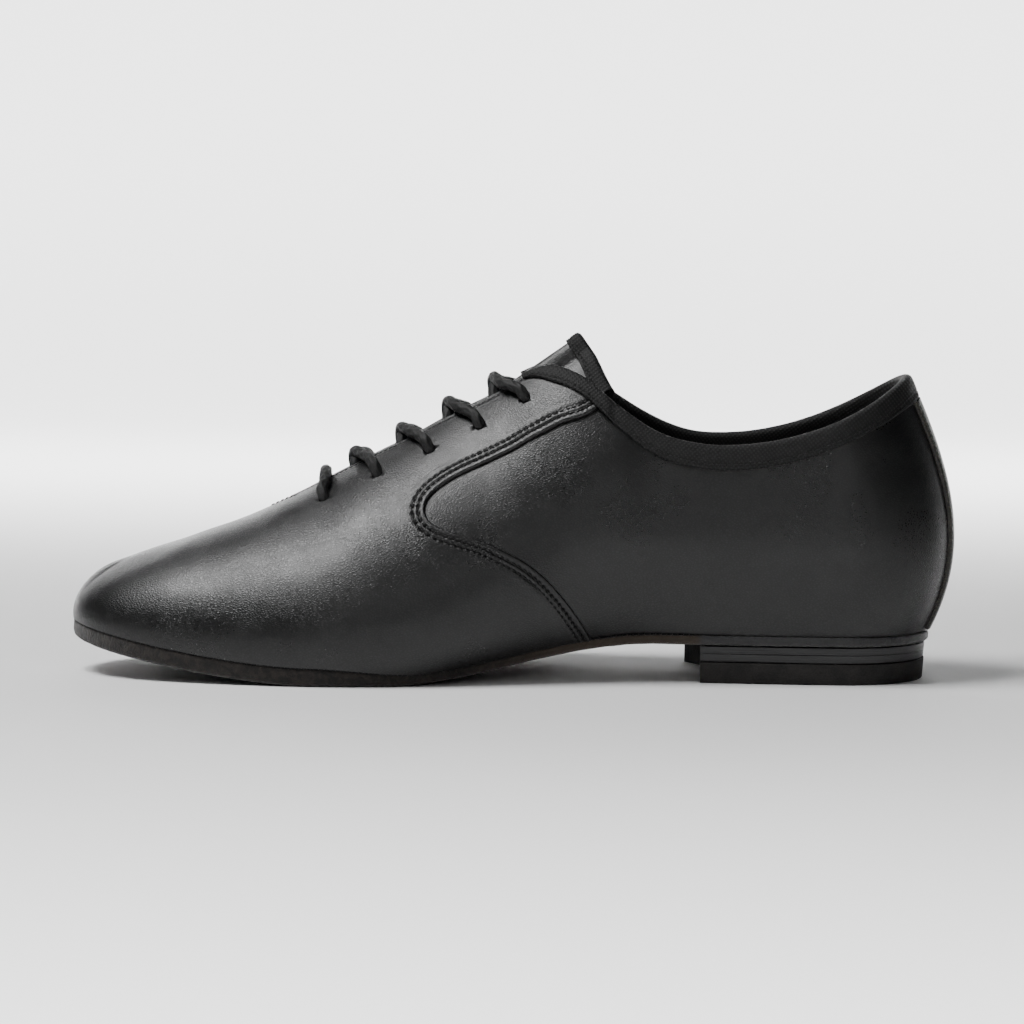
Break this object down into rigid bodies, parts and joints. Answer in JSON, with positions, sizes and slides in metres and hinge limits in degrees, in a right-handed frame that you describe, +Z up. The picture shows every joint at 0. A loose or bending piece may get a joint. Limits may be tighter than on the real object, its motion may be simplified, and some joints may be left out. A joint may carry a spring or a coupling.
{
  "type": "jazz shoe",
  "caption": "Right jazz shoe in soft black leather: low-cut laced upper with a tongue, thin suede sole with an arch and a low stacked heel; open collar for the foot.",
  "frame": {"origin": "middle of the shoe's bounding box in plan, on the floor it stands on", "axes": "+X from the toe to the heel, +Y towards the outer side of the foot, +Z up"},
  "size_m": [0.2736, 0.0977, 0.1061],
  "materials": {
    "black_leather": "fine grain, soft gloss",
    "black_lining": "matte woven lining",
    "black_binding": "matte binding tape",
    "strap_leather": "fine grain, satin",
    "black_suede": "napped suede",
    "painted_heel": "painted satin edge",
    "black_rubber": "matte",
    "black_cord": "braided"
  },
  "bodies": {
    "root": {"outsole": "black_suede", "upper": "black_leather", "insole": "black_lining", "top_lift": "black_rubber", "heel_lift": "painted_heel", "tongue": "black_leather", "tongue_binding": "black_binding", "collar_binding": "black_binding", "back_strap": "strap_leather", "lace_crossing_1": "black_cord", "lace_crossing_2": "black_cord", "lace_crossing_3": "black_cord", "lace_crossing_4": "black_cord", "lace_crossing_5": "black_cord"}
  },
  "joints": []
}
